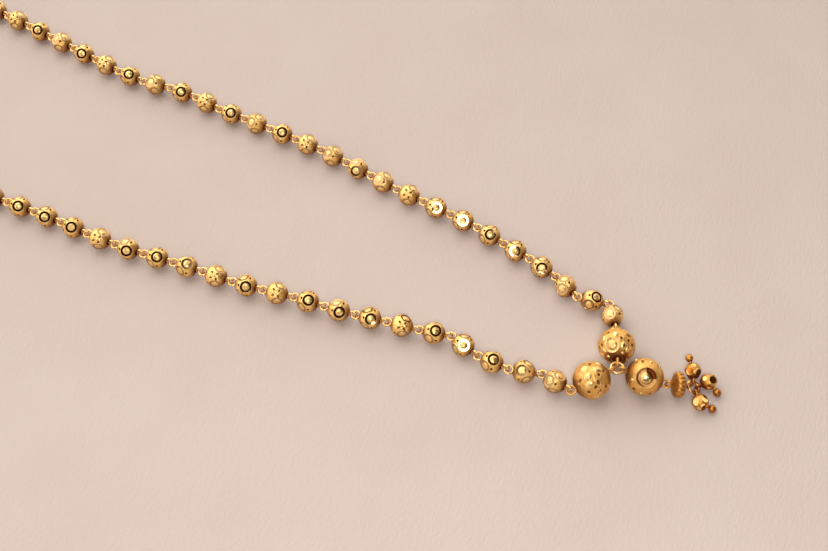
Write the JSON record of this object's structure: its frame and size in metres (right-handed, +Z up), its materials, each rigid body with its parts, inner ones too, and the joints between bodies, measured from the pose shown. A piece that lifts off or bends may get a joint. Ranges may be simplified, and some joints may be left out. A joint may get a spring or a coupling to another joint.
{
  "type": "mangalsutra necklace",
  "caption": "Gold bead-chain necklace laid flat as a closed loop, with large cut balls at a junction ring and a pendant of small drops on a ring.",
  "frame": {"origin": "middle of the whole necklace's box, on the surface that it lies on", "axes": "+Y runs along the loop from the pendant to the clasp, +X across it to the right strand, +Z up from the surface"},
  "size_m": [0.0624, 0.2966, 0.0064],
  "materials": {
    "chain_gold": "satin yellow gold with bright machine-cut facets",
    "ball_gold": "satin yellow gold with bright round cuts",
    "wire_gold": "polished yellow gold wire",
    "drop_gold": "polished yellow gold",
    "clasp_gold": "satin yellow gold"
  },
  "bodies": {
    "root": {"left_strand": "chain_gold", "right_strand": "chain_gold", "ball_left": "ball_gold", "ball_right": "ball_gold", "ball_pendant": "ball_gold", "junction_ring": "wire_gold", "flat_bead": "drop_gold", "drop_ring": "wire_gold", "drop_left": "drop_gold", "drop_middle": "drop_gold", "drop_right": "drop_gold", "clasp": "clasp_gold"}
  },
  "joints": []
}
